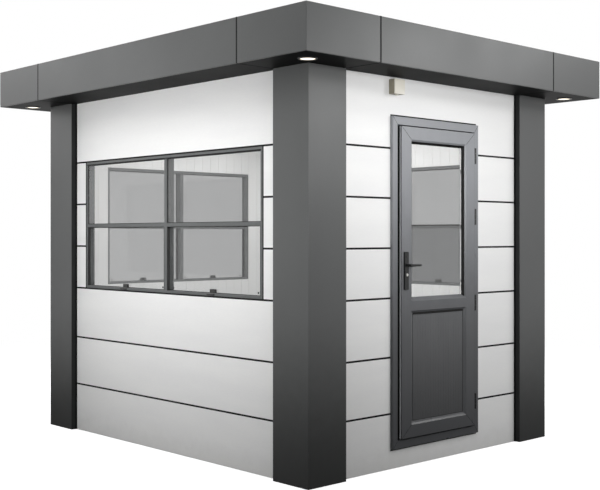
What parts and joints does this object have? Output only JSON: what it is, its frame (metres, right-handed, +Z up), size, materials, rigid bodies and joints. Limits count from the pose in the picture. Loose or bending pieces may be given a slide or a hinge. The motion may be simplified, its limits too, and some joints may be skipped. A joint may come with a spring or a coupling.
{
  "type": "composite gatehouse cabin",
  "caption": "Small flat-roofed gatehouse cabin with graphite corner posts and roof fascia, white plank cladding, sliding windows and a part-glazed hinged door.",
  "frame": {"origin": "on the ground at the middle of the plan", "axes": "+Z up, the door wall faces -Y, the two long window walls face -X and +X"},
  "size_m": [2.72, 3.23, 2.535],
  "materials": {
    "graphite_sheet": "satin powder coat",
    "soffit_sheet": "gloss powder coat",
    "white_sheet": "satin polyester coat",
    "black_membrane": "matte",
    "lining_board": "satin, grooved boards",
    "floor_sheet": "vinyl",
    "base_steel": "primed",
    "window_profile": "satin",
    "window_pane": "clear, lightly tinted",
    "door_profile": "satin foil",
    "door_pane": "clear, lightly tinted",
    "door_infill": "satin foil",
    "black_fitting": "satin",
    "black_metal": "satin",
    "steel": "satin",
    "roof_membrane": "matte",
    "lamp": "frosted lens in a trim ring",
    "beige_plastic": "satin"
  },
  "bodies": {
    "cabin": {"base_frame": "base_steel", "floor_deck": "floor_sheet", "post_front_left": "graphite_sheet", "post_front_right": "graphite_sheet", "post_back_left": "graphite_sheet", "post_back_right": "graphite_sheet", "front_wall_left": "black_membrane", "front_wall_right": "black_membrane", "front_wall_head": "black_membrane", "left_wall": "black_membrane", "right_wall": "black_membrane", "back_wall": "black_membrane", "front_cladding": "white_sheet", "front_cladding_notched": "white_sheet", "left_cladding": "white_sheet", "right_cladding": "white_sheet", "back_cladding": "white_sheet", "front_lining": "lining_board", "left_lining": "lining_board", "right_lining": "lining_board", "back_lining": "lining_board", "ceiling": "lining_board", "left_window_frame": "window_profile", "right_window_frame": "window_profile", "back_window_frame": "window_profile", "left_window_glass": "window_pane", "right_window_glass": "window_pane", "back_window_glass": "window_pane", "window_channels": "black_fitting", "window_latches": "black_fitting", "door_frame": "door_profile", "fascia_panels": "graphite_sheet", "soffit_panels": "soffit_sheet", "coping": "graphite_sheet", "roof_deck": "roof_membrane", "downlights": "lamp", "junction_box": "beige_plastic", "hinges_fixed": "black_metal"},
    "door": {"door_leaf": "door_profile", "door_glass": "door_pane", "door_panel": "door_infill", "handle_plates": "black_metal", "lock_cylinder": "steel", "hinges_moving": "black_metal"},
    "lever": {"door_lever": "black_metal"}
  },
  "joints": [
    {"name": "door_hinge", "type": "hinge", "parent": "cabin", "child": "door", "pos_m": [0.3475, -1.347, 1.0835], "axis": [0, 0, 1], "range_deg": [0, 110]},
    {"name": "lever_turn", "type": "hinge", "parent": "door", "child": "lever", "pos_m": [-0.314, -1.322, 1.186], "axis": [0, 1, 0], "range_deg": [0, 35], "stiffness_Nm_per_rad": 0.8, "springref_deg": -34.38}
  ]
}
